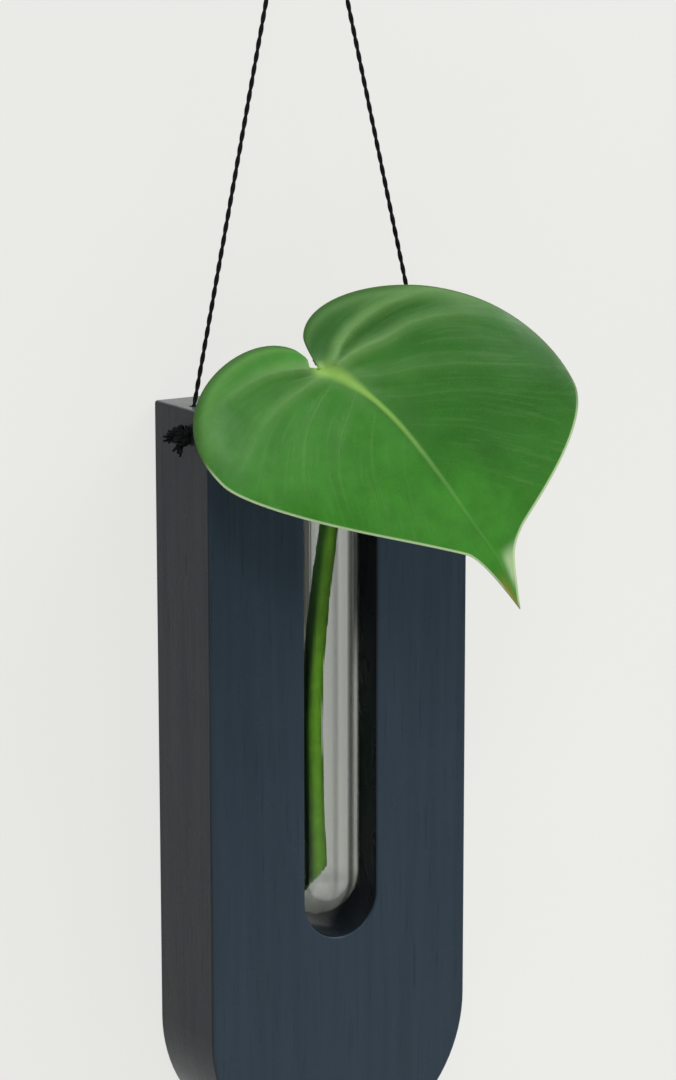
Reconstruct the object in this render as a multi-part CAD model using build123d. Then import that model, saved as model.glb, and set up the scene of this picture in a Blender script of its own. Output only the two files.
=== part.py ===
from build123d import *
import math
import os

# A hanging wall vase, in millimetres. X is to the right, Y goes into the wall and Z is up.
# The origin is on the nail's axis where the nail enters the wall.

# Wooden block
block_width = 82.0
block_thickness = 29.0
block_height = 214.0
block_edge_round = 0.8
slot_width = 23.0
slot_floor_gap = 3.0       # from the tube's round end down to the slot's floor

# Glass tube
tube_diameter = 25.0
tube_length = 150.0        # rim to round end
tube_wall = 1.2
rim_diameter = 28.4
rim_height = 3.5           # stands this much above the block
rim_round = 1.1
lip_round = 0.5
bore_clearance = 0.3       # radial, between the tube and its bore
bore_floor_rise = 5.5      # the flat floor of the bore is this far above the tube's round end

# Nail
nail_drop = 151.0          # from the nail's axis down to the top of the block
nail_shank_diameter = 2.8
nail_pin_diameter = 2.0    # the thinner pin that is driven into the wall
nail_pin_length = 22.0
nail_point_length = 3.0
nail_reach = 18.0          # from the wall to the front of the head
nail_head_diameter = 6.5
nail_head_thickness = 1.4
nail_head_crown = 1.0      # height of the head's domed front

# Cord
cord_diameter = 1.0
cord_hole_diameter = 2.5
cord_hole_inset = 4.1      # from the block's side to the hole, on the top
cord_hole_drop = 6.7       # from the block's top to the hole, on the side
cord_hole_lean = 4.0       # the hole comes out this much nearer to the front
cord_wall_gap = 11.0       # from the wall to the cord, at the nail
cord_nail_clearance = 0.05
nail_turns = 3             # corners of the cord's route round the nail
arc_share = 0.45           # of the shorter run beside it, that an arc may take

# Stopper knots
knot_diameter = 5.6
knot_waist_diameter = 4.8  # between its two wraps
knot_height = 4.4
knot_tail_length = 4.5
knot_tail_diameter = 2.2
knot_tail_droop = 35.0     # degrees below level
cord_in_knot = 1.6         # length of cord inside the knot

# Stem of the cutting
stem_diameter = 4.2
stem_gap = 0.3             # between the stem and the glass where it leans
stem_lip_turn = -62.0      # degrees from +X towards the viewer, where it leans on the tube's mouth
stem_foot_turn = 56.0      # degrees from +X towards the wall, where its foot stands
stem_foot_inset = 0.9      # the foot's edge stands this far inside the tube's wall
stem_bow_height = 64.0     # from the foot up to the bend
stem_bow_side = -0.1       # place of the bend, from the tube's axis
stem_bow_back = 1.4
stem_knee_rise = 2.7       # the knee stands this much above the leaf's joint
stem_knee_radius = 11.0

# Blade of the leaf
leaf_length = 80.0         # from the notch to the tip
leaf_left_width = 39.9     # from the midrib
leaf_right_width = 53.7
leaf_tip_bend = 4.7        # how far the drip tip swings to the left
leaf_tip_spread = 5.9      # how far its two edges stand apart where it begins
leaf_thickness = 0.8
leaf_dome_radius = 300.0
leaf_dome_middle = 24.0    # from the notch to the top of the dome, along the midrib
leaf_side = 16.5           # the notch is this far left of the block's middle
leaf_reach = 17.0          # in front of the block's front
leaf_rise = 12.65          # above the block's top
leaf_turn = 20.0           # degrees that the leaf faces to the left
leaf_tilt = 25.0           # degrees that the leaf faces up
leaf_roll = 53.7           # degrees from level to the midrib, on the leaf's own plane
leaf_joint_inset = 2.5     # from the notch to the middle of the stem's end

# Levels and middles that follow from the sizes above
top_z = -nail_drop
base_z = top_z - block_height
middle_y = -block_thickness / 2
tube_radius = tube_diameter / 2
tube_inner_radius = tube_radius - tube_wall
tube_top_z = top_z + rim_height
tube_end_z = tube_top_z - tube_length
round_centre_z = tube_end_z + tube_radius
slot_floor_z = tube_end_z - slot_floor_gap
cord_radius = cord_diameter / 2
stem_radius = stem_diameter / 2


def slotted_outline(width, bottom_z):
    """A flat-topped, round-bottomed shape in the plane of X and Z, up to the block's top."""
    arc_z = bottom_z + width / 2
    straight = Pos(0, (top_z + arc_z) / 2) * Rectangle(width, top_z - arc_z)
    return straight + Pos(0, arc_z) * Circle(width / 2)


def cord_hole_line(side):
    """Where the hole's axis meets the block's top and its side; side is -1 or 1."""
    at_top = Vector(side * (block_width / 2 - cord_hole_inset), middle_y, top_z)
    at_side = Vector(side * block_width / 2, middle_y - cord_hole_lean, top_z - cord_hole_drop)
    return at_top, at_side


def cord_hole(side):
    at_top, at_side = cord_hole_line(side)
    along = (at_side - at_top).normalized()
    overrun = 2 * cord_hole_diameter
    start = at_top - along * overrun
    length = (at_side - at_top).length + 2 * overrun
    return extrude(Plane(origin=start, z_dir=along) * Circle(cord_hole_diameter / 2), amount=length)


def wooden_block():
    outline = slotted_outline(block_width, base_z) - slotted_outline(slot_width, slot_floor_z)
    block = extrude(Plane.XZ * outline, amount=block_thickness)
    faces_front_back = block.faces().filter_by(Axis.Y)
    rounded = [e for f in faces_front_back for e in f.edges()]
    across = block.edges().filter_by(Axis.Y)
    rounded += [e for e in across if abs(e.center().Z - top_z) < block_edge_round]
    block = fillet(rounded, block_edge_round)
    bore_floor_z = tube_end_z + bore_floor_rise
    bore_plane = Plane(origin=(0, middle_y, bore_floor_z))
    bore = extrude(bore_plane * Circle(tube_radius + bore_clearance), amount=top_z - bore_floor_z)
    return block - bore - cord_hole(-1) - cord_hole(1)


def tube_body(radius, end_z, high_z):
    """A round-ended rod on the tube's axis, from its end up to high_z."""
    centre_z = end_z + radius
    rod = extrude(Plane(origin=(0, middle_y, centre_z)) * Circle(radius), amount=high_z - centre_z)
    return rod + Pos(0, middle_y, centre_z) * Sphere(radius)


def glass_tube():
    rim = extrude(Plane(origin=(0, middle_y, top_z)) * Circle(rim_diameter / 2), amount=rim_height)
    rim = fillet(rim.edges().group_by(Axis.Z)[-1], rim_round)
    body = tube_body(tube_radius, tube_end_z, tube_top_z) + rim
    tube = body - tube_body(tube_inner_radius, tube_end_z + tube_wall, tube_top_z + rim_height)
    mouth = tube.edges().filter_by(GeomType.CIRCLE).group_by(Axis.Z)[-1].sort_by(SortBy.RADIUS)[0]
    return fillet(mouth, lip_round)


def wall_nail():
    shank = nail_shank_diameter / 2
    pin = nail_pin_diameter / 2
    head = nail_head_diameter / 2
    under_head = -nail_reach + nail_head_thickness
    crown_edge = -nail_reach + nail_head_crown
    with BuildPart() as nail:
        with BuildSketch(Plane.XY):
            with BuildLine():
                TangentArc((0, -nail_reach), (head, crown_edge), tangent=(1, 0))
                Polyline((head, crown_edge), (head, under_head), (shank, under_head), (shank, 0), (pin, 0),
                         (pin, nail_pin_length - nail_point_length), (0, nail_pin_length), (0, -nail_reach))
            make_face()
        revolve(axis=Axis.Y)
    return nail.part


def nail_corners():
    """The corners of the cord's route round the nail: part of a polygon that the cord's arc fits inside."""
    arc = nail_shank_diameter / 2 + cord_nail_clearance + cord_radius
    entry, _ = cord_hole_line(1)
    far = math.hypot(entry.X, entry.Z)
    lean = math.atan2(entry.X, -entry.Z) - math.asin(arc / far)  # of a strand, from upright
    step = (math.pi - 2 * lean) / nail_turns
    corner_radius = arc / math.cos(step / 2)
    corners = []
    for k in range(nail_turns):
        angle = math.pi - lean - step * (k + 0.5)
        across = corner_radius * math.cos(angle)
        up = corner_radius * math.sin(angle)
        corners.append(Vector(across, -cord_wall_gap, up))
    return corners


def cord_route():
    route = []
    for side in (-1, 1):
        at_top, at_side = cord_hole_line(side)
        end = at_side + (at_side - at_top).normalized() * cord_in_knot
        route.append([end, at_top])
    return route[0] + nail_corners() + route[1][::-1]


def arc_radii(route):
    """The largest arc that each corner's two runs leave room for."""
    radii = []
    for before, corner, after in zip(route, route[1:], route[2:]):
        run_in = corner - before
        run_out = after - corner
        half_turn = math.radians(run_in.get_angle(run_out)) / 2
        radii.append(arc_share * min(run_in.length, run_out.length) / math.tan(half_turn))
    return radii


def swept_tube(route, radii, radius):
    path = FilletPolyline(*route, radius=radii)
    start = Plane(origin=path @ 0, z_dir=path % 0)
    return sweep(start * Circle(radius), path=path), path.length


def hanging_cord():
    route = cord_route()
    radii = arc_radii(route)
    tube, length = swept_tube(route, radii, cord_radius)
    expected = math.pi * cord_radius ** 2 * length
    print("cord arc radii", [round(r, 2) for r in radii])
    print("cord length", round(length, 2), "volume", round(tube.volume, 2), "expected", round(expected, 2))
    return tube


def stopper_knot(side):
    """Two wraps of cord pulled tight against the block's side, with a frayed tail."""
    _, at_side = cord_hole_line(side)
    wrap = knot_height / 2
    bulge = knot_diameter / 2
    waist = knot_waist_diameter / 2
    with BuildPart() as knot:
        with BuildSketch(Plane.XZ):
            with BuildLine():
                Polyline((0, knot_height), (0, 0), (waist, 0))
                ThreePointArc((waist, 0), (bulge, wrap / 2), (waist, wrap))
                TangentArc((0, knot_height), (waist, wrap), tangent=(1, 0))
            make_face()
        revolve(axis=Axis.Z)
    seat = Plane(origin=at_side, x_dir=(0, side, 0), z_dir=(side, 0, 0))
    droop = math.radians(knot_tail_droop)
    tail_way = Vector(side * math.cos(droop), 0, -math.sin(droop))
    tail_start = at_side + Vector(side * wrap, 0, 0)
    tail = extrude(Plane(origin=tail_start, z_dir=tail_way) * Circle(knot_tail_diameter / 2),
                   amount=wrap + knot_tail_length)
    return seat.location * knot.part + tail


def leaf_plane():
    """Origin at the notch, X along the midrib, Y to the leaf's right and Z out of its upper side."""
    turn = math.radians(leaf_turn)
    tilt = math.radians(leaf_tilt)
    roll = math.radians(leaf_roll)
    facing = Vector(-math.sin(turn) * math.cos(tilt), -math.cos(turn) * math.cos(tilt), math.sin(tilt))
    level = Vector(math.cos(turn), -math.sin(turn), 0)
    down = facing.cross(level) * -1
    notch = (-leaf_side, -block_thickness - leaf_reach, top_z + leaf_rise)
    return Plane(origin=notch, x_dir=level * math.cos(roll) + down * math.sin(roll), z_dir=facing)


def leaf_ball(radius):
    """A ball that carries the dome of the blade, with its top under the middle of the leaf."""
    plane = leaf_plane()
    middle = plane.from_local_coords(Vector(leaf_dome_middle, 0, -leaf_dome_radius))
    return Pos(*middle) * Sphere(radius)


def leaf_outline():
    """Two curves for each half: from the notch round the lobe to the widest place, and on to the tip."""
    long, left, right = leaf_length, leaf_left_width, leaf_right_width
    notch = (-0.02 * long, -0.01 * left)
    tip = (long, 0)
    wide_left = (0.04 * long, -left)
    wide_right = (0.5 * long, right)
    return make_face([
        Bezier(notch, (-0.29 * long, -0.01 * left), (-0.265 * long, -1.043 * left), wide_left),
        Bezier(wide_left, (0.41 * long, -0.948 * left), (0.67 * long, leaf_tip_bend), tip),
        Bezier(tip, (0.667 * long, leaf_tip_bend + leaf_tip_spread), (0.807 * long, 0.918 * right), wide_right),
        Bezier(wide_right, (0.057 * long, 1.118 * right), (-0.407 * long, 0.07 * right), notch),
    ])


def leaf_blade():
    prism = extrude(leaf_plane() * leaf_outline(), amount=leaf_length / 2, both=True)
    return (prism & leaf_ball(leaf_dome_radius)) - leaf_ball(leaf_dome_radius - leaf_thickness)


def stem_route():
    """From the foot on the tube's round end, past its mouth and over the knee to the leaf."""
    lean = tube_inner_radius - stem_radius - stem_gap
    lip_turn = math.radians(stem_lip_turn)
    lip = Vector(lean * math.cos(lip_turn), middle_y + lean * math.sin(lip_turn), tube_top_z)
    foot_edge = tube_inner_radius - stem_foot_inset
    foot_out = foot_edge - stem_radius
    foot_turn = math.radians(stem_foot_turn)
    foot_z = round_centre_z - math.sqrt(tube_inner_radius ** 2 - foot_edge ** 2) + stem_gap
    foot = Vector(foot_out * math.cos(foot_turn), middle_y + foot_out * math.sin(foot_turn), foot_z)
    bow = Vector(stem_bow_side, middle_y + stem_bow_back, foot_z + stem_bow_height)
    joint = leaf_plane().from_local_coords(Vector(leaf_joint_inset, 0, leaf_thickness))
    rise = joint.Z + stem_knee_rise - lip.Z
    knee = lip + (lip - bow) * (rise / (lip.Z - bow.Z))
    return [foot, bow, knee, joint]


def leaf_stem():
    route = stem_route()
    radii = arc_radii(route)
    stem, _ = swept_tube(route, [radii[0], stem_knee_radius], stem_radius)
    return stem & leaf_ball(leaf_dome_radius - leaf_thickness)


def main():
    os.makedirs("parts", exist_ok=True)
    nodes = {
        "wall_nail": wall_nail(),
        "wooden_block": wooden_block(),
        "hanging_cord": hanging_cord(),
        "left_knot": stopper_knot(-1),
        "right_knot": stopper_knot(1),
        "glass_tube": glass_tube(),
        "leaf_stem": leaf_stem(),
        "leaf_blade": leaf_blade(),
    }
    for name, shape in nodes.items():
        export_step(shape, f"parts/{name}.step")


main()
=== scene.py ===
import random
from math import copysign, cos, exp, inf, pi, radians, sin, tau

import bmesh
import bpy
from mathutils import Matrix, Vector


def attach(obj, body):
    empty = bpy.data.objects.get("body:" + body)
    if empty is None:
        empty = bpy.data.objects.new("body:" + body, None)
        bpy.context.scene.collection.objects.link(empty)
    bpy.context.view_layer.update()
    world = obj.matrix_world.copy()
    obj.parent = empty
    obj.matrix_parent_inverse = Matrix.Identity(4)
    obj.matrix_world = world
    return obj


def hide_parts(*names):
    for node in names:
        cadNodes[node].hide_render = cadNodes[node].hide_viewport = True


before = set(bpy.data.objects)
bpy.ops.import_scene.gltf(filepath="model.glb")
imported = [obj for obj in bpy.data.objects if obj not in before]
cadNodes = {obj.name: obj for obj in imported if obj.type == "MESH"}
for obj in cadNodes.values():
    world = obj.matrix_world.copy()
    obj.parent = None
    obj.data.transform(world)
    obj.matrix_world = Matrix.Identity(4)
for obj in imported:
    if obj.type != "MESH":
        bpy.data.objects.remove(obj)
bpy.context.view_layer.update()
scene = bpy.context.scene
scene.view_settings.view_transform = "Standard"
mm = 0.001


# node helpers

def paint(red, green, blue):
    # a colour as a paint program shows it, 0 to 255, to Blender's linear RGBA
    shares = [c / 255 for c in (red, green, blue)]
    return (*[c / 12.92 if c <= 0.04045 else ((c + 0.055) / 1.055) ** 2.4 for c in shares], 1.0)


def addNode(kind, inputs=None, tree=None, **settings):
    # goes into the tree that is given, or else into that of the first socket among the inputs
    inputs = inputs or {}
    if tree is None:
        tree = next(value.id_data for value in inputs.values() if isinstance(value, bpy.types.NodeSocket))
    node = tree.nodes.new("ShaderNode" + kind)
    for name, value in settings.items():
        setattr(node, name, value)
    for name, value in inputs.items():
        if isinstance(value, bpy.types.NodeSocket):
            tree.links.new(value, node.inputs[name])
        else:
            node.inputs[name].default_value = value
    return node


def addMath(operation, *values):
    return addNode("Math", dict(enumerate(values)), operation=operation).outputs[0]


def addChain(operation, value, *others):
    # the same operation with one value after the other
    for other in others:
        value = addMath(operation, value, other)
    return value


def addProduct(*values):
    return addChain("MULTIPLY", *values)


def addRange(value, low, high, toLow=0.0, toHigh=1.0, kind="SMOOTHSTEP"):
    # goes from toLow at low to toHigh at high, and is level outside
    node = addNode("MapRange", {"Value": value, "From Min": low, "From Max": high,
                                "To Min": toLow, "To Max": toHigh}, interpolation_type=kind)
    return node.outputs["Result"]


def addMix(share, first, second):
    return addNode("Mix", {0: share, 6: first, 7: second}, data_type="RGBA").outputs[2]


def addTint(colour, target, share, *masks):
    # takes the colour this share of the way to the target where the masks are 1
    return addMix(addProduct(*masks, share), colour, target)


def addNoise(vector, **inputs):
    return addNode("TexNoise", {"Vector": vector, **inputs}).outputs["Fac"]


def addBump(height, strength, depth):
    bump = addNode("Bump", {"Height": height, "Strength": strength, "Distance": depth})
    return bump.outputs["Normal"]


def addSplit(vector):
    return addNode("SeparateXYZ", {0: vector}).outputs


def mixShaders(share, first, second):
    return addNode("MixShader", {0: share, 1: first, 2: second}).outputs[0]


def readAttributes(tree, *names):
    # the values of these names that each point of a mesh carries
    return {name: addNode("Attribute", tree=tree, attribute_name=name).outputs["Fac"] for name in names}


def newMaterial(name, **sockets):
    # also gives the object coordinates, which every material uses
    material = bpy.data.materials.new(name)
    material.use_nodes = True
    tree = material.node_tree
    shader = tree.nodes["Principled BSDF"]
    for label, value in sockets.items():
        shader.inputs[label.replace("_", " ")].default_value = value
    return material, shader, addNode("TexCoord", tree=tree).outputs["Object"]


def plug(node, **sockets):
    for label, socket in sockets.items():
        node.id_data.links.new(socket, node.inputs[label.replace("_", " ")])


def newGroup(name, vectors, numbers, outputs):
    group = bpy.data.node_groups.new(name, "ShaderNodeTree")
    sockets = ((vectors, "INPUT", "Vector"), (numbers, "INPUT", "Float"), (outputs, "OUTPUT", "Float"))
    for labels, way, kind in sockets:
        for label in labels:
            group.interface.new_socket(label, in_out=way, socket_type="NodeSocket" + kind)
    return group, group.nodes.new("NodeGroupInput").outputs, group.nodes.new("NodeGroupOutput")


def useGroup(group, vector, **inputs):
    return addNode("Group", {"Vector": vector, **inputs}, node_tree=group).outputs


# long fibres: streaks drawn out along one direction, for wood, cord, nail, glass and stalk
def makeLongFibres():
    group, given, made = newGroup("longFibres", ["Vector", "Stretch"], ["Scale"],
                                  ["Streaks", "Threads", "Height"])
    drawn = addNode("VectorMath", {0: given["Vector"], 1: given["Stretch"]}, operation="MULTIPLY").outputs[0]
    broad = addNoise(drawn, Scale=given["Scale"], Detail=4.0, Roughness=0.6, Distortion=0.4)
    fineScale = addProduct(given["Scale"], 3.7)
    fine = addNoise(drawn, Scale=fineScale, Detail=3.0, Roughness=0.65)
    threads = addRange(fine, 0.36, 0.64)
    height = addMath("ADD", addProduct(broad, 0.5), addProduct(threads, 0.5))
    plug(made, Streaks=addRange(broad, 0.3, 0.7), Threads=threads, Height=height)
    return group


# handling marks: soft patches where a finish is a little duller
def makeHandling():
    group, given, made = newGroup("handlingMarks", ["Vector"], ["Scale", "Clean", "Dull"],
                                  ["Roughness", "Patches"])
    cloud = addNoise(given["Vector"], Scale=given["Scale"], Detail=5.0, Roughness=0.55, Distortion=0.8)
    patches = addRange(cloud, 0.38, 0.66)
    mixed = addNode("Mix", {0: patches, 2: given["Clean"], 3: given["Dull"]}, data_type="FLOAT")
    plug(made, Roughness=mixed.outputs[0], Patches=patches)
    return group


# plant cells: the fine net and the soft mottling of living green, for leaf and stalk
def makePlantCells():
    group, given, made = newGroup("plantCells", ["Vector"], ["Scale"], ["Net", "Mottle"])
    cells = addNode("TexVoronoi", {"Vector": given["Vector"], "Scale": given["Scale"]},
                    feature="DISTANCE_TO_EDGE")
    coarse = addProduct(given["Scale"], 0.11)
    cloud = addNoise(given["Vector"], Scale=coarse, Detail=5.0, Roughness=0.6)
    plug(made, Net=addRange(cells.outputs["Distance"], 0.0, 0.09, 1.0, 0.0),
         Mottle=addRange(cloud, 0.32, 0.68))
    return group


longFibres = makeLongFibres()
handlingMarks = makeHandling()
plantCells = makePlantCells()
print("shared node groups made")


# mesh helpers

def ramp(value, start, end):
    # 0 at start and 1 at end, and level outside
    return min(1.0, max(0.0, (value - start) / (end - start)))


def readTable(table, at):
    # the value at this place, straight from entry to entry and level outside
    at = min(max(at, table[0][0]), table[-1][0])
    k = max(i for i in range(len(table) - 1) if table[i][0] <= at)
    (x0, y0), (x1, y1) = table[k], table[k + 1]
    return y0 + (y1 - y0) * (at - x0) / (x1 - x0)


def addObject(name, data):
    thing = bpy.data.objects.new(name, data)
    scene.collection.objects.link(thing)
    return thing


def addMesh(name, bm, *materials):
    mesh = bpy.data.meshes.new(name)
    bm.to_mesh(mesh)
    bm.free()
    for material in materials:
        mesh.materials.append(material)
    return addObject(name, mesh)


def addPiece(name, bm, body, slot, *materials, replaced=()):
    piece = addMesh(name, bm, *materials)
    piece.data.shade_smooth()
    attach(piece, body)
    if replaced:
        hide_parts(*replaced)
    return piece


def dressNode(name, material):
    cadNodes[name].data.materials.clear()
    cadNodes[name].data.materials.append(material)


def readCurve(curve):
    holder = addObject(curve.name, curve)
    mesh = bpy.data.meshes.new_from_object(holder)
    bpy.data.objects.remove(holder)
    bpy.data.curves.remove(curve)
    return mesh


def addCurve(kind, places):
    curve = bpy.data.curves.new("guide", "CURVE")
    curve.dimensions = "3D"
    spline = curve.splines.new(kind)
    spline.points.add(len(places) - 1)
    for point, place in zip(spline.points, places):
        point.co = (*place, 1.0)
    return curve, spline


def readSpline(controlPoints, steps):
    # the smooth line of a NURBS spline with these control points
    curve, spline = addCurve("NURBS", controlPoints)
    spline.order_u = 3
    spline.use_endpoint_u = True
    spline.resolution_u = steps
    mesh = readCurve(curve)
    line = [v.co.copy() for v in mesh.vertices]
    bpy.data.meshes.remove(mesh)
    return line


def evenSteps(line, step):
    # the same line in equal steps
    lengths = [0.0]
    for a, b in zip(line, line[1:]):
        lengths.append(lengths[-1] + (b - a).length)
    count = max(2, round(lengths[-1] / step))
    table = list(zip(lengths, line))
    return [readTable(table, lengths[-1] * i / count) for i in range(count + 1)]


def addStrand(bm, line, radii, resolution=2):
    # a round strand along a line, bevelled by Blender's own curve
    curve, spline = addCurve("POLY", line)
    curve.bevel_depth = 1.0
    curve.bevel_resolution = resolution
    curve.use_fill_caps = True
    for point, radius in zip(spline.points, radii):
        point.radius = radius
    mesh = readCurve(curve)
    bm.from_mesh(mesh)
    bpy.data.meshes.remove(mesh)


def twistPlies(line, offset, pitch, plies=2):
    # each ply winds round the line; the cross directions are carried along it without spinning
    across = (line[1] - line[0]).orthogonal().normalized()
    lines, gone = [[] for _ in range(plies)], 0.0
    for i, place in enumerate(line):
        ahead = (line[min(i + 1, len(line) - 1)] - line[max(i - 1, 0)]).normalized()
        across = (across - ahead * across.dot(ahead)).normalized()
        beside = ahead.cross(across)
        if i:
            gone += (place - line[i - 1]).length
        for k in range(plies):
            turn = tau * (gone / pitch + k / plies)
            lines[k].append(place + (across * cos(turn) + beside * sin(turn)) * offset)
    return lines


# camera, at the photograph's viewing angle for a 676 x 1080 picture

camera = {
    "place": (-0.474338, -0.784798, -0.003538),
    "yaw": 32.058,  # degrees, from the left
    "pitch": 11.726,  # degrees, looking down
    "roll": -0.04,
    "lens": 112.835, "sensor": 36.0,  # mm, the sensor's long side
    "near": 0.01, "far": 50.0,
}


def makeCamera():
    data = bpy.data.cameras.new("viewCamera")
    data.lens = camera["lens"]
    data.sensor_width = camera["sensor"]
    data.clip_start = camera["near"]
    data.clip_end = camera["far"]
    eye = addObject("viewCamera", data)
    turn = (Matrix.Rotation(radians(-camera["yaw"]), 4, "Z")
            @ Matrix.Rotation(radians(90 - camera["pitch"]), 4, "X")
            @ Matrix.Rotation(radians(camera["roll"]), 4, "Z"))
    eye.matrix_world = Matrix.Translation(camera["place"]) @ turn
    scene.camera = eye


makeCamera()
print("camera placed")


# hanging cord, two plies, from the left knot over the nail to the right knot

cord = {
    "diameter": 1.0 * mm,
    "plyRadius": 0.42 * mm, "plyRadiusAtNail": 0.35 * mm, "tightLength": 12 * mm,
    "plyOffset": 0.23 * mm,
    "pitch": 7.0 * mm,
    "step": 0.55 * mm, "splineSteps": 240,
    "exit": (-36.9 * mm, -14.5 * mm, -151 * mm),
    # half of the route in mm, from the knot up to the nail's top
    "halfRoute": [(41.74, -19.23, -158.92), (36.9, -14.5, -151.0), (35.54, -14.36, -145.15),
                  (3.04, -11.13, -4.49), (1.79, -11.0, 1.43)],
    "top": (0.0, -11.0, 2.30),
    "black": paint(7, 8, 10), "worn": paint(27, 28, 30),
    "wear": (0.35, 0.25),  # what dust adds to the worn share, and that share without it
}


def cordMaterial():
    material, shader, coords = newMaterial("twistedCord", Specular_IOR_Level=0.12, Sheen_Weight=0.04,
                                           Sheen_Roughness=0.4)
    fibres = useGroup(longFibres, coords, Stretch=(1, 1, 0.35), Scale=2400.0)
    dust = useGroup(handlingMarks, coords, Scale=160.0, Clean=0.62, Dull=0.85)
    wear = addMath("MULTIPLY_ADD", dust["Patches"], *cord["wear"])
    colour = addTint(cord["black"], cord["worn"], wear, fibres["Threads"])
    plug(shader, Base_Color=colour, Roughness=dust["Roughness"],
         Normal=addBump(fibres["Height"], strength=0.5, depth=0.08 * mm))
    return material


twistedCord = cordMaterial()


def makeCord():
    right = [Vector(p) * mm for p in cord["halfRoute"]]
    left = [Vector((-p.x, p.y, p.z)) for p in right]
    route = left + [Vector(cord["top"]) * mm] + right[::-1]
    line = evenSteps(readSpline(route, cord["splineSteps"]), cord["step"])
    bm = bmesh.new()
    for ply in twistPlies(line, cord["plyOffset"], cord["pitch"]):
        # the strands pull tighter where they bend over the nail
        loose = [ramp(place.z, 0.0, -cord["tightLength"]) for place in ply]
        addStrand(bm, ply, [cord["plyRadiusAtNail"] * (1 - s) + cord["plyRadius"] * s for s in loose])
    piece = addPiece("hangingCord", bm, "vase", "twisted_cord", twistedCord, replaced=["hanging_cord"])
    return piece, line


hangingCord, cordLine = makeCord()
cordLength = sum((b - a).length for a, b in zip(cordLine, cordLine[1:]))
print("cord laid,", round(cordLength / mm, 1), "mm")


# stopper knots with frayed ends, one on each side of the block

knot = {
    "hole": (41.0, -18.5, -157.7),  # mm, where the cord comes out on the right side
    # outward, radius, wave and turn of each wrap, mm and degrees
    "wraps": [(1.30, 2.15, 0.70, 0), (2.40, 2.15, 0.75, 62), (3.30, 1.60, 0.60, 25)],
    "wrapSteps": 96, "step": 0.3 * mm,
    "plyRadius": 0.60 * mm,
    "plyOffset": 0.40 * mm,
    "pitch": 3.8 * mm,
    # frayed ends as (outward, to the wall, up), length in mm, number of fibres
    "tufts": [((1.0, 0.22, 0.40), 3.5, 6), ((1.0, 0.35, 0.08), 3.4, 6), ((1.0, 0.22, -0.24), 3.7, 7),
              ((0.22, -0.05, -1.0), 3.9, 7)],
    # mm: where the fibres start, outward from the hole, round that place and along the tuft
    "tuftRoot": 2.0, "rootSpread": 0.55, "fibreStart": 0.8,
    "fibreRadius": 0.44 * mm, "taper": 0.28, "fibreSteps": 6,
    "stray": 0.06, "bend": 0.16, "droop": 0.25, "shortest": 0.72,
}


def makeKnot(name, side, node):
    pick = random.Random(name)
    hole = Vector(knot["hole"]) * mm
    hole.x *= side

    def place(outward, toWall, up):
        return hole + Vector((side * outward, toWall, up)) * mm

    bm = bmesh.new()
    for outward, radius, wave, degrees in knot["wraps"]:
        loop, turn = [], Matrix.Rotation(radians(degrees), 2)
        for i in range(knot["wrapSteps"] + 1):
            t = tau * i / knot["wrapSteps"]
            flat = Vector((sin(t) + 2 * sin(2 * t), cos(t) - 2 * cos(2 * t)))
            loop.append(place(outward - wave * sin(3 * t), *(turn @ flat * (radius / 3))))
        for ply in twistPlies(evenSteps(loop, knot["step"]), knot["plyOffset"], knot["pitch"]):
            addStrand(bm, ply, [knot["plyRadius"]] * len(ply))
    for aim, length, count in knot["tufts"]:
        aim = Vector(aim).normalized()
        for _ in range(count):
            root = Vector([pick.uniform(-knot["rootSpread"], knot["rootSpread"]) for _ in range(3)])
            stray = Vector([pick.gauss(0, knot["stray"]) for _ in range(3)])
            bend = Vector([pick.gauss(0, knot["bend"]) for _ in range(3)])
            reach = length * pick.uniform(knot["shortest"], 1.0)
            fibre, radii = [], []
            for i in range(knot["fibreSteps"] + 1):
                t = i / knot["fibreSteps"]
                at = root + aim * (knot["fibreStart"] + reach * t) + (stray + bend * t) * (reach * t)
                fibre.append(place(knot["tuftRoot"] + at.x, at.y, at.z - knot["droop"] * t * t))
                radii.append(knot["fibreRadius"] * (1.0 - knot["taper"] * t))
            addStrand(bm, fibre, radii)
    return addPiece(name, bm, "vase", "twisted_cord", twistedCord, replaced=[node])


leftKnot = makeKnot("leftKnot", -1, "left_knot")
rightKnot = makeKnot("rightKnot", 1, "right_knot")
print("knots tied")


# wooden block, the CAD node with a dark stain over open grain

wood = {
    "stain": paint(52, 65, 77),
    # further colours, each with the share that it covers
    "deepStain": (paint(44, 56, 66), 0.5),
    # the side faces are darker and greyer: partly their own tone, partly painted shade
    "sideToneAndShade": (paint(31, 37, 43), 0.8),
    "sideStreak": (paint(74, 67, 60), 0.6),  # the stain is thinner over the hard bands of the side grain
    # the inside of the slot is painted darker, as painted shade
    "slotShade": (paint(21, 25, 30), 0.85),
    # what marks, threads or a side face add to a share, and that share without them
    # the top face is painted a lighter grey in patches, as a painted sheen
    "topSheen": paint(88, 90, 86), "sheenShare": (0.3, 0.65), "banded": (0.7, 0.2),
    "pore": paint(8, 10, 12), "poreShare": (0.35, 0.2), "rough": (0.6, 0.4),
    "poreSpan": (0.20, 0.02), "threadHeight": 0.4,
    "squareOn": (0.6, 0.95), "turnedAway": (0.7, 0.3),  # share of a face's normal along an axis
    "topFace": (-155 * mm, -152 * mm),
    "slotSide": (12.7 * mm, 11.5 * mm), "slotTop": (-152 * mm, -156 * mm), "slotFoot": (-320 * mm, -310 * mm),
    "grainScale": 330.0, "fineScale": 1419.0,
    "grainStretch": (1.0, 1.0, 0.035),  # grain runs up the block
}


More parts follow.
